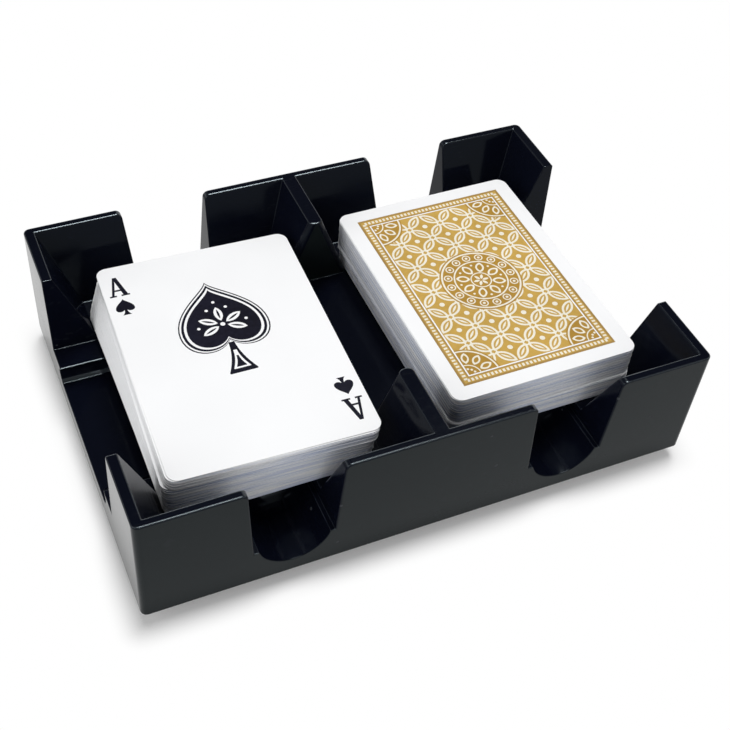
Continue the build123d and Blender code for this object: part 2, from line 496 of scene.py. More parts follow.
def new_material(name):
    """Empty node material; gives it, its tree, object coordinates and its shader."""
    material = bpy.data.materials.new(name)
    material.use_nodes = True
    tree = material.node_tree
    tree.nodes.clear()
    shader = add_node(tree, "ShaderNodeBsdfPrincipled")
    surface = {"Surface": shader.outputs["BSDF"]}
    add_node(tree, "ShaderNodeOutputMaterial", surface)
    coordinates = add_node(tree, "ShaderNodeTexCoord").outputs["Object"]
    return material, tree, coordinates, shader


def plug(tree, shader, **sockets):
    """Link or set shader sockets, written with underscores for spaces."""
    for name, value in sockets.items():
        feed(tree, shader.inputs[name.replace("_", " ")], value)


def bumped(tree, height, distance, strength, normal=None):
    """Normal from a height, on top of another normal if there is one."""
    inputs = {"Height": height, "Distance": distance, "Strength": strength}
    if normal is not None:
        inputs["Normal"] = normal
    return add_node(tree, "ShaderNodeBump", inputs).outputs["Normal"]


def rounded(tree, radius):
    """Normal that rounds sharp edges."""
    inputs = {"Radius": radius}
    return add_node(tree, "ShaderNodeBevel", inputs, samples=6).outputs["Normal"]


def edge_share(tree, normal):
    """1 where an edge rounds over between level and steep ground, else 0."""
    facing = add_node(tree, "ShaderNodeSeparateXYZ", {"Vector": normal}).outputs
    past_steep = ranged(tree, facing["Z"], 0.58, 0.68)
    short_of_level = ranged(tree, facing["Z"], 0.95, 0.985, 1.0, 0.0)
    sideways = math_node(tree, "ABSOLUTE", facing["X"])
    share = math_node(tree, "MULTIPLY", past_steep, short_of_level)
    weaker = ranged(tree, sideways, 0.15, 0.4, 1.0, 0.3)
    return math_node(tree, "MULTIPLY", share, weaker)


def clear_of_scoops(tree, place):
    """Little in the round scoops of the front and rear walls, else 1."""
    at = add_node(tree, "ShaderNodeSeparateXYZ", {"Vector": place}).outputs
    above = math_node(tree, "GREATER_THAN", at["Z"], CARD_FLOOR - SCOOP_DEPTH)
    sideways = math_node(tree, "ABSOLUTE", at["X"])
    beside = math_node(tree, "GREATER_THAN", sideways, SCOOP_REACH)
    outside = math_node(tree, "MAXIMUM", above, beside)
    return math_node(tree, "MAXIMUM", outside, 0.3)


def upright_reflection_share(tree):
    """1 on upright walls, which take a paler painted reflection, else 0."""
    normal = add_node(tree, "ShaderNodeNewGeometry").outputs["Normal"]
    upward = add_node(tree, "ShaderNodeSeparateXYZ", {"Vector": normal}).outputs["Z"]
    steepness = math_node(tree, "ABSOLUTE", upward)
    return ranged(tree, steepness, 0.01, 0.04, 1.0, 0.0)


def gloss_plastic(name, colour, roughness, edge_round):
    """Black moulded plastic, faintly wavy, scuffed and edge-polished, with a painted
    reflection on upright walls.
    """
    material, tree, place, shader = new_material(name)
    scuffs = use_group(tree, "fine_scuffs", {"Vector": place, "Density": 0.55})
    specks = use_group(tree, "dust_specks", {"Vector": place, "Share": 0.05})["Specks"]
    peel = use_group(tree, "mould_peel", {"Vector": place})["Height"]
    cloud = noise(tree, place, 22.0, 3.0)
    inner = blended(tree, cloud, opaque(colour, 0.8), opaque(colour, 1.3))
    # Painted reflection: upright walls take a paler, bluer grey that stands in for the
    # floor they reflect
    reflected_dark, reflected_pale = (0.007, 0.0095, 0.0105), (0.010, 0.013, 0.014)
    outer = blended(tree, cloud, opaque(reflected_dark), opaque(reflected_pale))
    tint = blended(tree, upright_reflection_share(tree), inner, outer)
    scratch_grey, dust_grey = (0.012, 0.014, 0.017), (0.03, 0.032, 0.036)
    scuffed = blended(tree, scuffs["Scratches"], tint, opaque(scratch_grey))
    dusty = blended(tree, specks, scuffed, opaque(dust_grey))
    base = ranged(tree, cloud, 0.3, 0.7, roughness, roughness + 0.05)
    worn = math_node(tree, "MULTIPLY_ADD", scuffs["Scratches"], 0.25, base)
    worn = math_node(tree, "MULTIPLY_ADD", specks, 0.4, worn, clamp=True)
    soft_edges = rounded(tree, edge_round)
    normal = bumped(tree, peel, 0.00001, 0.5, soft_edges)
    polished = math_node(
        tree, "MULTIPLY", edge_share(tree, soft_edges), clear_of_scoops(tree, place)
    )
    flat_sheen, cool_sheen = 0.042, (0.80, 0.94, 1.0)
    polish = ranged(tree, polished, 0.0, 1.0, flat_sheen, 1.0)
    plug(tree, shader, Base_Color=dusty, Roughness=worn, Normal=normal, IOR=1.8)
    plug(tree, shader, Specular_IOR_Level=polish, Specular_Tint=opaque(cool_sheen))
    return material


def base_plastic(colour, edge_round):
    """Satin black of the hidden base, worn bright along its track."""
    material, tree, place, shader = new_material("base_satin_plastic")
    grain = noise(tree, place, 1500.0, 3.0)
    scuffs = use_group(tree, "fine_scuffs", {"Vector": place, "Density": 0.9})
    off_track = math_node(tree, "SUBTRACT", off_axis(tree, place), TRACK_RADIUS)
    distance = math_node(tree, "ABSOLUTE", off_track)
    track = ranged(tree, distance, 0.0012, 0.0022, 1.0, 0.0)
    tint = blended(tree, grain, opaque(colour, 2.2), opaque(colour, 3.4))
    marked = blended(tree, scuffs["Scratches"], tint, opaque((0.03, 0.03, 0.033)))
    roughness = math_node(tree, "MULTIPLY_ADD", track, -0.22, 0.48)
    normal = bumped(tree, grain, 0.00003, 0.6, rounded(tree, edge_round))
    plug(tree, shader, Base_Color=marked, Roughness=roughness, Normal=normal)
    return material


def foot_rubber(colour):
    """Matt rubber with a fine pebble and a little floor dust."""
    material, tree, place, shader = new_material("foot_rubber")
    pebble = noise(tree, place, 2400.0, 2.0)
    cloud = noise(tree, place, 300.0, 3.0)
    specks = use_group(
        tree, "dust_specks", {"Vector": place, "Speck Scale": 900.0, "Share": 0.25}
    )["Specks"]
    tint = blended(tree, cloud, opaque(colour, 0.7), opaque(colour, 1.4))
    dusty = blended(tree, specks, tint, opaque((0.16, 0.155, 0.15)))
    roughness = ranged(tree, pebble, 0.3, 0.7, 0.72, 0.9)
    normal = bumped(tree, pebble, 0.00006, 0.7)
    plug(tree, shader, Base_Color=dusty, Roughness=roughness, Normal=normal)
    return material


def turned_steel(name, shade, bright):
    """Plated steel with turning marks round the pivot."""
    material, tree, place, shader = new_material(name)
    ring_rate = 21000.0
    rings = math_node(tree, "MULTIPLY", off_axis(tree, place), ring_rate)
    marks = math_node(tree, "SINE", rings)
    cloud = noise(tree, place, 700.0, 3.0)
    scuffs = use_group(
        tree, "fine_scuffs", {"Vector": place, "Scratch Scale": 1400.0, "Density": 0.8}
    )
    tint = blended(tree, cloud, opaque(shade), opaque(bright))
    roughness = ranged(tree, cloud, 0.3, 0.7, 0.22, 0.38)
    roughness = math_node(tree, "MULTIPLY_ADD", scuffs["Scratches"], 0.2, roughness)
    normal = bumped(tree, marks, 0.000004, 0.5)
    plug(tree, shader, Base_Color=tint, Roughness=roughness, Normal=normal)
    plug(tree, shader, Metallic=1.0)
    return material


def washer_nylon():
    """Translucent-looking white nylon, slightly yellow, rubbed grey in patches."""
    material, tree, place, shader = new_material("washer_nylon")
    cloud = noise(tree, place, 500.0, 3.0)
    scuffs = use_group(
        tree, "fine_scuffs", {"Vector": place, "Scratch Scale": 1200.0, "Density": 1.0}
    )
    tint = blended(tree, cloud, opaque((0.66, 0.64, 0.58)), opaque((0.78, 0.77, 0.72)))
    rubbed = blended(tree, scuffs["Scratches"], tint, opaque((0.30, 0.30, 0.30)))
    roughness = ranged(tree, cloud, 0.3, 0.7, 0.38, 0.5)
    normal = bumped(tree, cloud, 0.00002, 0.4)
    plug(tree, shader, Base_Color=rubbed, Roughness=roughness, Normal=normal)
    return material


def stacked_cards(cards):
    """Stacked plastic cards: white faces, cut edges in uneven tones, and painted shade in
    cool grey on ends, right pack and joins.
    """
    material, tree, place, shader = new_material("card_stock")
    edges = use_group(tree, "card_edges", {"Vector": place})
    linen = use_group(tree, "pressed_linen", {"Vector": place})["Height"]
    uneven = noise(tree, place, 60.0, 2.0)
    face = blended(
        tree, uneven, opaque(cards.stock_colour, 0.97), opaque(cards.stock_colour)
    )
    streak = ranged(tree, edges["Tone"], 0.15, 0.85)
    # Painted shade: the marked edges take the cool grey edge colour
    shade_painted_edge = blended(
        tree, edges["End"], opaque(cards.stock_colour, 0.93), opaque(cards.edge_shade_colour)
    )
    cut = blended(tree, streak, shade_painted_edge, opaque(cards.stock_colour))
    # Dark line at each card's join: painted shade between the cards, deeper where the
    # edges are painted in shade
    join_shade = ranged(tree, edges["Ridge"], 0.38, 0.5)
    depth = ranged(tree, edges["End"], 0.0, 1.0, 0.5, 0.85)
    join_shade = math_node(tree, "MULTIPLY", join_shade, depth)
    shaded = blended(tree, join_shade, cut, opaque(cards.edge_shade_colour, 0.6))
    colour = blended(tree, edges["Side"], face, shaded)
    roughness = ranged(tree, edges["Side"], 0.0, 1.0, 0.38, 0.55)
    inverse = math_node(tree, "SUBTRACT", 1.0, edges["Side"])
    height = math_node(tree, "MULTIPLY", linen, inverse)
    normal = bumped(tree, height, 0.000004, 0.4)
    plug(tree, shader, Base_Color=colour, Roughness=roughness, Normal=normal)
    return material


def card_paper(name, cards):
    """Clean upper face of a top card, with its fine pressed weave."""
    material, tree, place, shader = new_material(name)
    linen = use_group(tree, "pressed_linen", {"Vector": place})["Height"]
    cloud = noise(tree, place, 45.0, 2.0)
    specks = use_group(
        tree, "dust_specks", {"Vector": place, "Speck Scale": 180.0, "Share": 0.02}
    )["Specks"]
    white = cards.stock_colour
    tint = blended(tree, cloud, opaque(white, 0.985), opaque(white, 1.01))
    marked = blended(tree, specks, tint, opaque(white, 0.93))
    roughness = ranged(tree, cloud, 0.3, 0.7, 0.34, 0.42)
    normal = bumped(tree, linen, 0.000004, 0.4)
    plug(tree, shader, Base_Color=marked, Roughness=roughness, Normal=normal)
    return material


def ink(name, colour, roughness, unevenness):
    """Printed ink with the slight mottle of a flat colour on plastic card."""
    material, tree, place, shader = new_material(name)
    mottle = noise(tree, place, 900.0, 3.0)
    cloud = noise(tree, place, 70.0, 2.0)
    half_cloud = math_node(tree, "MULTIPLY", cloud, 0.5)
    mixed = math_node(tree, "MULTIPLY_ADD", mottle, 0.5, half_cloud)
    tint = blended(
        tree,
        ranged(tree, mixed, 0.35, 0.65),
        opaque(colour, 1.0 - unevenness),
        opaque(colour, 1.0 + unevenness),
    )
    gloss = ranged(tree, mottle, 0.3, 0.7, roughness - 0.04, roughness + 0.04)
    linen = use_group(tree, "pressed_linen", {"Vector": place})["Height"]
    normal = bumped(tree, linen, 0.000004, 0.4)
    plug(tree, shader, Base_Color=tint, Roughness=gloss, Normal=normal)
    plug(tree, shader, Specular_IOR_Level=0.06)
    return material


def dress(node, material):
    """Give a CAD node its finish."""
    piece = frame["nodes"][node]
    piece.data.materials.clear()
    piece.data.materials.append(material)


# ---- outlines in millimetres ----


def placed(points, at=(0.0, 0.0), turn=0.0, size=1.0):
    """Outline scaled and turned about its origin, then moved."""
    along, across = size * cos(turn), size * sin(turn)
    return [
        (at[0] + along * x - across * y, at[1] + across * x + along * y)
        for x, y in points
    ]


def polar(reach, turn, centre=(0.0, 0.0)):
    """Point at a distance and in a direction from a centre."""
    return (centre[0] + reach * cos(turn), centre[1] + reach * sin(turn))


def arc(radius, start, end, steps):
    """Points round part of a circle, both ends included."""
    turns = [start + (end - start) * step / steps for step in range(steps + 1)]
    return [polar(radius, turn) for turn in turns]


def circle(radius, steps):
    """Points round a whole circle."""
    return arc(radius, 0.0, 2 * pi, steps)[:-1]


def rectangle(width, height):
    """Corners of a rectangle about the origin."""
    x, y = width / 2, height / 2
    return [(-x, -y), (x, -y), (x, y), (-x, y)]


def leaf(length, width, steps=6):
    """Pointed leaf along X: two equal arcs between its tips."""
    reach, bulge = length / 2, width / 2
    radius = (reach**2 + bulge**2) / (2 * bulge)
    half_turn = atan2(reach, radius - bulge)
    upper = [
        (x, y - (radius - bulge))
        for x, y in arc(radius, pi / 2 - half_turn, pi / 2 + half_turn, steps)
    ]
    lower = [(x, -y) for x, y in upper[-2:0:-1]]
    return upper + lower


def curved(*knots, steps):
    """Points along cubic curves: a knot, then two handles and a knot for each."""
    points = [knots[0]]
    for first in range(0, len(knots) - 1, 3):
        start, leave, arrive, end = (
            Vector((*knot, 0.0)) for knot in knots[first : first + 4]
        )
        span = interpolate_bezier(start, leave, arrive, end, steps + 1)
        points += [(point.x, point.y) for point in span[1:]]
    return points


def mirrored(half):
    """Closed outline from its right half, which runs from top to bottom."""
    left = [(-x, y) for x, y in reversed(half) if abs(x) > 1e-6]
    return half + left


def shrunk(points, centre, share):
    """Outline drawn in towards a point."""
    return [
        (centre[0] + share * (x - centre[0]), centre[1] + share * (y - centre[1]))
        for x, y in points
    ]


# ---- ink as thin closed slabs ----


def lay(bm, loops, top, bottom=INK_SUNK):
    """Closed slab of ink from an outline and the outlines of the holes in it."""
    edges = []
    for points in loops:
        ring = [bm.verts.new((x, y, bottom)) for x, y in points]
        edges += [bm.edges.new(pair) for pair in zip(ring, ring[1:] + ring[:1])]
    filled = bmesh.ops.triangle_fill(
        bm, edges=edges, use_beauty=True, use_dissolve=False, normal=(0, 0, 1)
    )
    faces = [item for item in filled["geom"] if isinstance(item, bmesh.types.BMFace)]
    raised = bmesh.ops.extrude_face_region(bm, geom=faces)
    tops = [item for item in raised["geom"] if isinstance(item, bmesh.types.BMVert)]
    bmesh.ops.translate(bm, verts=tops, vec=(0.0, 0.0, top - bottom))


def dot(bm, at, radius, top, segments, bottom):
    """Round spot of ink."""
    middle = Matrix.Translation((*at, (top + bottom) / 2))
    bmesh.ops.create_cone(
        bm,
        cap_ends=True,
        segments=segments,
        radius1=radius,
        radius2=radius,
        depth=top - bottom,
        matrix=middle,
    )


def ink_ring(bm, at, radii, top, bottom, steps=16):
    """Ring of ink between an outer and an inner radius."""
    lay(bm, [placed(circle(radius, steps), at) for radius in radii], top, bottom)


def hollow_leaf(bm, at, turn, sizes, top, bottom):
    """Outline of a leaf in ink, between an outer and an inner length and width."""
    lay(bm, [placed(leaf(*size, 8), at, turn) for size in sizes], top, bottom)


def card_place(top_card, turn, node=None, shift=(0.0, 0.0), thinness=1.0):
    """Node of a card, and the matrix from millimetres on its face to the frame."""
    node = node or top_card
    low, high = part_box(top_card)
    centre = (low + high) / 2
    at = (centre.x + MM * shift[0], centre.y + MM * shift[1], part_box(node)[1].z)
    scale = Matrix.Diagonal((MM, MM, thinness * MM, 1.0))
    return node, Matrix.Translation(at) @ Matrix.Rotation(turn, 4, "Z") @ scale


def print_on(card, name, material, draw):
    """Draw inked slabs as a piece that lies on a card and moves with it."""
    node, place = card
    bm = bmesh.new()
    draw(bm)
    bmesh.ops.recalc_face_normals(bm, faces=bm.faces)
    bmesh.ops.transform(bm, matrix=place, verts=bm.verts)
    mesh = bpy.data.meshes.new(name)
    bm.to_mesh(mesh)
    bm.free()
    mesh.materials.append(material)
    piece = bpy.data.objects.new(name, mesh)
    bpy.context.scene.collection.objects.link(piece)
    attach(piece, frame["nodes"][node]["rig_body"])


# ---- left card: ace of spades ----


def letter_a():
    """Serifed capital A of height 1, as its outline and its hole."""
    outline = [
        (-0.36, 0.0), (-0.11, 0.0), (-0.11, 0.07), (-0.185, 0.07), (-0.135, 0.27),
        (0.095, 0.27), (0.14, 0.07), (0.06, 0.07), (0.06, 0.0), (0.37, 0.0),
        (0.37, 0.07), (0.305, 0.07), (0.075, 1.0), (-0.065, 1.0), (-0.275, 0.07),
        (-0.36, 0.07),
    ]
    hole = [(-0.115, 0.35), (0.078, 0.35), (-0.022, 0.80)]
    return [outline, hole]


def small_spade():
    """Plain spade of height 1 with its stalk."""
    half = curved(
        (0.0, 1.0), (0.08, 0.84), (0.425, 0.66), (0.425, 0.40), (0.425, 0.20),
        (0.15, 0.17), (0.06, 0.31), (0.065, 0.14), (0.14, 0.04), (0.20, 0.0),
        steps=6,
    )
    return mirrored(half)


def spade_body():
    """Large spade without its stalk, about the card's centre."""
    half = curved(
        (0.0, 28.9), (1.9, 24.6), (14.2, 18.6), (14.2, 7.8), (14.2, -2.2), (3.6, -3.4),
        (0.0, 2.5),
        steps=14,
    )
    return mirrored(half)


def spade_stalk():
    """Flared stalk of the large spade."""
    half = curved(
        (0.9, 1.5), (1.1, -2.6), (2.2, -6.6), (4.4, -10.7), (4.35, -11.1), (4.3, -11.2),
        (4.1, -11.2),
        steps=8,
    )
    return mirrored(half)


def diamond():
    """Diamond of height 1 with slightly hollow sides."""
    half = curved(
        (0.0, 1.0), (0.12, 0.82), (0.26, 0.64), (0.40, 0.5), (0.26, 0.36), (0.12, 0.18),
        (0.0, 0.0),
        steps=6,
    )
    return mirrored(half)


def draw_indices(bm, pip=None):
    """Letter and pip in two opposite corners, a spade if no other pip is given."""
    letter_height, pip_height = 8.7, 7.0
    for half_turn in (0.0, pi):
        for loops, centre, height in (
            (letter_a(), (-26.8, 35.15), letter_height),
            ([pip or small_spade()], (-26.5, 25.8), pip_height),
        ):
            foot = (centre[0], centre[1] - height / 2)
            upright = [placed(points, foot, size=height) for points in loops]
            lay(bm, [placed(points, turn=half_turn) for points in upright], INK_FIRST)


def draw_spade(bm):
    """Large spade: a double outline, and a dark field with a rosette left bare."""
    heart = (0.0, 10.0)
    body = spade_body()
    for outer, inner in ((1.0, 0.97), (0.93, 0.87)):
        rings = [shrunk(body, heart, outer), shrunk(body, heart, inner)]
        lay(bm, rings, INK_FIRST)
    rosette = (0.0, 9.6)
    leaf_turns = [radians(turn) for turn in (90, 28, 152, -24, 204)]
    leaves = []
    for turn in leaf_turns:
        centre = polar(4.6, turn, rosette)
        leaves.append(placed(leaf(6.2, 2.7), centre, turn))
        lay(bm, [placed(leaf(4.2, 0.7), centre, turn)], INK_FIRST)
    spots = [(0.0, 19.6), (3.1, 16.6), (-3.1, 16.6), (7.6, 9.8), (-7.6, 9.8)]
    bare_spots = [placed(circle(0.55, 12), spot) for spot in spots]
    bare_heart = placed(circle(0.8, 12), rosette)
    field = shrunk(body, heart, 0.81)
    lay(bm, [field, *leaves, *bare_spots, bare_heart], INK_FIRST)
    stalk = spade_stalk()
    lay(bm, [stalk, shrunk(stalk, (0.0, -7.1), 0.6)], INK_FIRST)
    lay(bm, [shrunk(stalk, (0.0, -7.6), 0.36)], INK_FIRST)
    lean = Matrix.Rotation(radians(1.2), 3, "Z")
    bmesh.ops.rotate(bm, verts=bm.verts, cent=(*heart, 0.0), matrix=lean)


def draw_diamonds(bm):
    """Indices and a large outlined diamond."""
    draw_indices(bm, diamond())
    large = placed(diamond(), (0.0, -12.0), size=24.0)
    centre = (0.0, 0.0)
    lay(bm, [large, shrunk(large, centre, 0.9)], INK_FIRST)
    lay(bm, [shrunk(large, centre, 0.82)], INK_FIRST)


# ---- right card: ornamental back ----

BACK_WIDTH, BACK_HEIGHT = 53.0, 79.0
LINE_OUTER, BAND_INNER, LINE_INNER = 0.75, 2.6, 3.05
FIELD_INSET = 3.55
TICK_PITCH = 1.35
MEDALLION = 13.6
CORNER_FAN = 10.5


def frame_ring(outer_inset, inner_inset):
    """Outer and inner rectangles of a band round the back."""
    return [
        rectangle(BACK_WIDTH - 2 * inset, BACK_HEIGHT - 2 * inset)
        for inset in (outer_inset, inner_inset)
    ]


def draw_frame_lines(bm):
    """Outer and inner line round the back."""
    lay(bm, frame_ring(0.0, LINE_OUTER), INK_FIRST)
    lay(bm, frame_ring(BAND_INNER, LINE_INNER), INK_FIRST)


def draw_frame_ticks(bm):
    """Row of short ticks in the band between the two lines."""
    middle = (LINE_OUTER + BAND_INNER) / 2
    tick = rectangle(0.75, 1.15)
    for length, offset, upright in (
        (BACK_WIDTH - 2 * middle, BACK_HEIGHT / 2 - middle, False),
        (BACK_HEIGHT - 2 * middle, BACK_WIDTH / 2 - middle, True),
    ):
        count = round(length / TICK_PITCH)
        for step in range(count):
            along = (step + 0.5) / count * length - length / 2
            for side in (-offset, offset):
                at = (side, along) if upright else (along, side)
                turn = pi / 2 if upright else 0.0
                lay(bm, [placed(tick, at, turn)], INK_SECOND, INK_FIRST)


def field_size():
    """Width and height of the gold ground."""
    return BACK_WIDTH - 2 * FIELD_INSET, BACK_HEIGHT - 2 * FIELD_INSET


def draw_ground(bm):
    """Gold ground and the gold band between the two lines."""
    width, height = field_size()
    lay(bm, [rectangle(width, height)], INK_FIRST)
    lay(bm, frame_ring(LINE_OUTER, BAND_INNER), INK_FIRST)


def draw_discs(bm):
    """Discs that the medallion and the corner fans stand on."""
    lay(bm, [circle(MEDALLION, 64)], INK_THIRD, INK_FIRST)
    for x, y, start in corner_places():
        fan = [(0.0, 0.0), *arc(CORNER_FAN, start, start + pi / 2, 16)]
        lay(bm, [placed(fan, (x, y))], INK_THIRD, INK_FIRST)


def corner_places():
    """Corners of the ground, each with the turn at which its fan starts."""
    width, height = field_size()
    x, y = width / 2, height / 2
    return [(-x, -y, 0.0), (x, -y, pi / 2), (x, y, pi), (-x, y, 1.5 * pi)]


def clear_of_ornaments(at, margin):
    """True where a motif of the ground isn't covered by the medallion or a fan."""
    from_centre = hypot(*at) - MEDALLION
    from_corner = min(hypot(at[0] - x, at[1] - y) for x, y, _ in corner_places())
    return from_centre > -margin and from_corner - CORNER_FAN > -margin


def draw_leaf_field(bm, columns, rows):
    """Ground of leaves that meet four at a time, with a ring between them."""
    width, height = field_size()
    cell_x, cell_y = width / columns, height / rows
    tilt = atan2(cell_y, cell_x)
    span = hypot(cell_x, cell_y)
    for column in range(columns):
        for row in range(rows):
            at = (
                (column + 0.5) * cell_x - width / 2,
                (row + 0.5) * cell_y - height / 2,
            )
            if not clear_of_ornaments(at, span / 2):
                continue
            turn = tilt if (column + row) % 2 else -tilt
            sizes = ((span - 0.9, 3.5), (span - 2.9, 2.0))
            hollow_leaf(bm, at, turn, sizes, INK_SECOND, INK_FIRST)
            lay(bm, [placed(leaf(span - 4.4, 0.7, 4), at, turn)], INK_SECOND, INK_FIRST)
    for column in range(1, columns):
        for row in range(1, rows):
            at = (column * cell_x - width / 2, row * cell_y - height / 2)
            if not clear_of_ornaments(at, 1.2):
                continue
            if (column + row) % 2 == 0:
                dot(bm, at, 0.9, INK_SECOND, 12, INK_FIRST)
                continue
            ink_ring(bm, at, (1.25, 0.7), INK_OVER, INK_FIRST)


def draw_medallion(bm):
    """Rings, scallops and overlapping petals in the middle of the back."""
    for radii in ((13.1, 12.5), (9.0, 8.5), (3.5, 3.1)):
        ink_ring(bm, (0.0, 0.0), radii, INK_FOURTH, INK_THIRD, 64)
    scallops = 16
    for step in range(scallops):
        turn = 2 * pi * step / scallops
        at = polar(10.75, turn)
        ink_ring(bm, at, (1.45, 1.05), INK_FOURTH, INK_THIRD)
        dot(bm, at, 0.5, INK_FOURTH, 8, INK_THIRD)
    petals = 8
    for step in range(petals):
        turn = 2 * pi * (step + 0.5) / petals
        at = polar(5.9, turn)
        hollow_leaf(bm, at, turn, ((4.6, 2.9), (3.0, 1.7)), INK_FOURTH, INK_THIRD)
    for step in range(petals):
        turn = 2 * pi * step / petals
        dot(bm, polar(7.2, turn), 0.42, INK_FOURTH, 8, INK_THIRD)
    small_petals = 6
    for step in range(small_petals):
        turn = 2 * pi * step / small_petals
        petal = placed(leaf(2.3, 1.0, 4), polar(1.55, turn), turn)
        lay(bm, [petal], INK_FOURTH, INK_THIRD)


def draw_corner_fans(bm):
    """Quarter rosettes in the four corners of the ground."""
    for x, y, start in corner_places():
        for outer, inner in ((10.0, 9.45), (4.1, 3.7)):
            band = arc(outer, start, start + pi / 2, 16)
            band += arc(inner, start + pi / 2, start, 16)
            lay(bm, [placed(band, (x, y))], INK_FOURTH, INK_THIRD)
        for share in (1 / 6, 1 / 2, 5 / 6):
            turn = start + share * pi / 2
            at = polar(6.75, turn, (x, y))
            sizes = ((4.4, 2.5), (2.7, 1.4))
            hollow_leaf(bm, at, turn, sizes, INK_FOURTH, INK_THIRD)
            dot(bm, polar(2.3, turn, (x, y)), 0.42, INK_FOURTH, 8, INK_THIRD)


# ---- operators ----


class CARDTRAY_OT_finish_tray(bpy.types.Operator):
    """Finish the tray, its base, its feet, its pivot and its washers"""

    bl_idname = "card_tray.finish_tray"
    bl_label = "Finish Tray"

    def execute(self, context):
        finish = context.scene.tray_finish
        colour, edge = finish.plastic_colour, finish.edge_round
        make_groups()
        dress(
            "turning_tray",
            gloss_plastic("tray_black_gloss", colour, finish.plastic_roughness, edge),
        )
        dress("round_base", base_plastic(colour, edge))
        dress("rubber_feet", foot_rubber(finish.rubber_colour))
        dress(
            "pivot_screw",
            turned_steel("screw_zinc", (0.42, 0.42, 0.40), (0.60, 0.60, 0.57)),
        )
        dress(
            "screw_washer",
            turned_steel("washer_steel", (0.36, 0.37, 0.38), (0.55, 0.56, 0.57)),
        )
        dress("thrust_washer", washer_nylon())
        return {"FINISHED"}


class CARDTRAY_OT_finish_cards(bpy.types.Operator):
    """Finish the stacked cards and the faces of the two top cards"""

    bl_idname = "card_tray.finish_cards"
    bl_label = "Finish Cards"

    def execute(self, context):
        cards = context.scene.card_finish
        stock = stacked_cards(cards)
        for node in (
            "left_lower_cards",
            "left_upper_cards",
            "right_lower_cards",
            "right_upper_cards",
        ):
            dress(node, stock)
        dress("left_top_card", card_paper("card_face", cards))
        dress("right_top_card", card_paper("card_back", cards))
        return {"FINISHED"}


class CARDTRAY_OT_print_face(bpy.types.Operator):
    """Print the ace of spades on the left top card, and the card under it"""

    bl_idname = "card_tray.print_face"
    bl_label = "Print Left Cards"

    def execute(self, context):
        cards = context.scene.card_finish
        black = ink("black_ink", cards.black_ink, 0.36, 0.25)
        red = ink("red_ink", cards.red_ink, 0.36, 0.10)
        top = card_place("left_top_card", cards.left_turn)
        second = card_place("left_top_card", *SECOND_LEFT, COVERED_INK)
        print_on(top, "left_card_indices", black, draw_indices)
        print_on(top, "left_card_spade", black, draw_spade)
        print_on(second, "left_second_diamonds", red, draw_diamonds)
        return {"FINISHED"}


class CARDTRAY_OT_print_back(bpy.types.Operator):
    """Print the ornamental back on the right top card, and on the card under it"""

    bl_idname = "card_tray.print_back"
    bl_label = "Print Right Cards"

    def execute(self, context):
        cards = context.scene.card_finish
        gold = ink("gold_ink", cards.gold_ink, 0.40, 0.07)
        deep_gold = ink("deep_gold_ink", cards.deep_gold_ink, 0.40, 0.07)
        bronze = ink("bronze_ink", cards.bronze_ink, 0.40, 0.07)
        cream = ink("cream_ink", cards.cream_ink, 0.42, 0.04)

        def field(bm):
            draw_leaf_field(bm, cards.field_columns, cards.field_rows)

        top = card_place("right_top_card", cards.right_turn)
        second = card_place("right_top_card", *SECOND_RIGHT, COVERED_INK)
        for name, draw, tone in (
            ("frame_lines", draw_frame_lines, bronze),
            ("frame_ticks", draw_frame_ticks, cream),
            ("ground", draw_ground, gold),
            ("discs", draw_discs, deep_gold),
            ("leaves", field, cream),
            ("medallion", draw_medallion, cream),
            ("corner_fans", draw_corner_fans, cream),
        ):
            print_on(top, f"right_card_{name}", tone, draw)
            print_on(second, f"right_second_{name}", tone, draw)
        return {"FINISHED"}


class CARDTRAY_OT_build_stage(bpy.types.Operator):
    """Make the floor, the world, the lamps and the camera"""

    bl_idname = "card_tray.build_stage"
    bl_label = "Build Stage"

    def execute(self, context):
        stage = context.scene.stage_settings
        make_floor(stage.floor_size)
        make_world(context.scene)
        make_lamp("key_light", stage.key_strength, spread=30, tilt=(-11.5, 8.8))
        make_lamp("rear_light", stage.rear_strength, spread=16, tilt=(-23.6, 19.1))
        make_lamp("side_light", stage.side_strength, spread=60, tilt=(12, -65))
        make_camera(context.scene, stage)
        return {"FINISHED"}


# ---- stage ----


def background_rays(tree):
    """1 for rays that show the background: seen, mirrored or through glass."""
    path = add_node(tree, "ShaderNodeLightPath").outputs
    shown = math_node(tree, "MAXIMUM", path["Is Camera Ray"], path["Is Glossy Ray"])
    return math_node(tree, "MAXIMUM", shown, path["Is Transmission Ray"])


def open_floor(tree):
    """0 under the tray, rising to 1 a short way out from its footprint."""
    half_size = (CAD_BOX[1] - CAD_BOX[0]) / 2
    place = add_node(tree, "ShaderNodeTexCoord").outputs["Object"]
    level = stretched(tree, place, (1.0, 1.0, 0.0))
    reach = add_node(tree, "ShaderNodeVectorMath", {0: level}, operation="ABSOLUTE")
    inputs = {0: reach.outputs["Vector"], 1: half_size}
    beyond = add_node(tree, "ShaderNodeVectorMath", inputs, operation="SUBTRACT")
    inputs = {0: beyond.outputs["Vector"], 1: (0.0, 0.0, 0.0)}
    outside = add_node(tree, "ShaderNodeVectorMath", inputs, operation="MAXIMUM")
    inputs = {0: outside.outputs["Vector"]}
    distance = add_node(tree, "ShaderNodeVectorMath", inputs, operation="LENGTH")
    shade_start, white_from = -0.003, 0.009
    return ranged(tree, distance.outputs["Value"], shade_start, white_from)


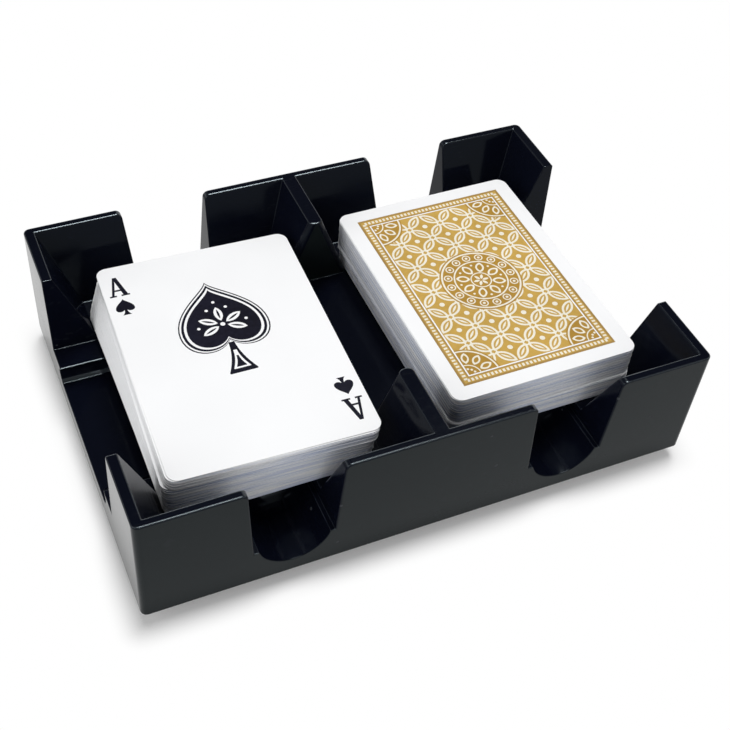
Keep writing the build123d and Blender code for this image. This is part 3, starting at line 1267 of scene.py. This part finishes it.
def make_floor(size):
    """Pale floor: its shadow shows close to the tray, and further out it is white."""
    bm = bmesh.new()
    bmesh.ops.create_circle(bm, cap_ends=True, segments=64, radius=size)
    mesh = bpy.data.meshes.new("pale_floor")
    bm.to_mesh(mesh)
    bm.free()
    floor = bpy.data.objects.new("pale_floor", mesh)
    bpy.context.scene.collection.objects.link(floor)
    material = bpy.data.materials.new("pale_floor")
    material.use_nodes = True
    tree = material.node_tree
    tree.nodes.clear()
    white, paper_white = opaque((1.0, 1.0, 1.0)), opaque((0.90, 0.90, 0.90))
    paper = add_node(tree, "ShaderNodeBsdfDiffuse", {"Color": paper_white})
    open_white = add_node(tree, "ShaderNodeEmission", {"Color": white, "Strength": 1.0})
    share = math_node(tree, "MULTIPLY", background_rays(tree), open_floor(tree))
    both = add_node(
        tree,
        "ShaderNodeMixShader",
        {0: share, 1: paper.outputs["BSDF"], 2: open_white.outputs["Emission"]},
    )
    add_node(tree, "ShaderNodeOutputMaterial", {"Surface": both.outputs["Shader"]})
    mesh.materials.append(material)


def make_world(scene):
    """Studio dome: white round the horizon, darker overhead."""
    world = bpy.data.worlds.new("studio_dome")
    world.use_nodes = True
    tree = world.node_tree
    tree.nodes.clear()
    direction = add_node(tree, "ShaderNodeTexCoord").outputs["Generated"]
    height = add_node(tree, "ShaderNodeSeparateXYZ", {"Vector": direction})
    at_horizon, overhead = 1.0, 0.12
    strength = ranged(tree, height.outputs["Z"], 0.28, 0.62, at_horizon, overhead)
    inputs = {"Color": opaque((1.0, 1.0, 1.0)), "Strength": strength}
    background = add_node(tree, "ShaderNodeBackground", inputs)
    surface = {"Surface": background.outputs["Background"]}
    add_node(tree, "ShaderNodeOutputWorld", surface)
    scene.world = world


def make_lamp(name, strength, spread, tilt):
    """Distant soft lamp; it leans forward or back, then sideways, in degrees."""
    lamp = bpy.data.lights.new(name, "SUN")
    lamp.energy = strength
    lamp.angle = radians(spread)
    light = bpy.data.objects.new(name, lamp)
    bpy.context.scene.collection.objects.link(light)
    light.rotation_euler = Euler((radians(tilt[0]), radians(tilt[1]), 0.0))


def make_camera(scene, stage):
    """Camera at the photograph's viewing angle."""
    azimuth, elevation = stage.camera_azimuth, stage.camera_elevation
    level_reach = cos(elevation)
    forward = Vector(
        (-sin(azimuth) * level_reach, cos(azimuth) * level_reach, -sin(elevation))
    )
    level = forward.to_track_quat("-Z", "Y").to_matrix().to_4x4()
    lens = bpy.data.cameras.new("camera")
    lens.lens = stage.lens
    lens.sensor_width = 36.0
    lens.shift_x, lens.shift_y = stage.shift_x, stage.shift_y
    lens.clip_start, lens.clip_end = 0.01, 50.0
    camera = bpy.data.objects.new("camera", lens)
    scene.collection.objects.link(camera)
    camera.matrix_world = (
        Matrix.Translation(stage.camera_place)
        @ level
        @ Matrix.Rotation(stage.camera_roll, 4, "Z")
    )
    scene.camera = camera
    scene.view_settings.view_transform = "Standard"


# ---- panel and registration ----


class CARDTRAY_PT_panel(bpy.types.Panel):
    """Buttons and settings of the card tray"""

    bl_idname = "CARDTRAY_PT_panel"
    bl_label = "Card Tray"
    bl_space_type = "VIEW_3D"
    bl_region_type = "UI"
    bl_category = "Card Tray"

    def draw(self, context):
        for operator in OPERATORS:
            self.layout.operator(operator.bl_idname)
        for group in (
            context.scene.tray_finish,
            context.scene.card_finish,
            context.scene.stage_settings,
        ):
            box = self.layout.box()
            for name in group.__annotations__:
                box.prop(group, name)


OPERATORS = (
    CARDTRAY_OT_finish_tray,
    CARDTRAY_OT_finish_cards,
    CARDTRAY_OT_print_face,
    CARDTRAY_OT_print_back,
    CARDTRAY_OT_build_stage,
)
CLASSES = (TrayFinish, CardFinish, StageSettings, *OPERATORS, CARDTRAY_PT_panel)


def register():
    """Register the classes and attach the settings to the scene."""
    for cls in CLASSES:
        bpy.utils.register_class(cls)
    bpy.types.Scene.tray_finish = PointerProperty(type=TrayFinish)
    bpy.types.Scene.card_finish = PointerProperty(type=CardFinish)
    bpy.types.Scene.stage_settings = PointerProperty(type=StageSettings)


def unregister():
    """Take the settings and the classes away again."""
    del bpy.types.Scene.stage_settings
    del bpy.types.Scene.card_finish
    del bpy.types.Scene.tray_finish
    for cls in reversed(CLASSES):
        bpy.utils.unregister_class(cls)


def main():
    """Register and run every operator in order."""
    register()
    bpy.ops.card_tray.finish_tray()
    bpy.ops.card_tray.finish_cards()
    bpy.ops.card_tray.print_face()
    bpy.ops.card_tray.print_back()
    bpy.ops.card_tray.build_stage()


if __name__ == "__main__":
    main()
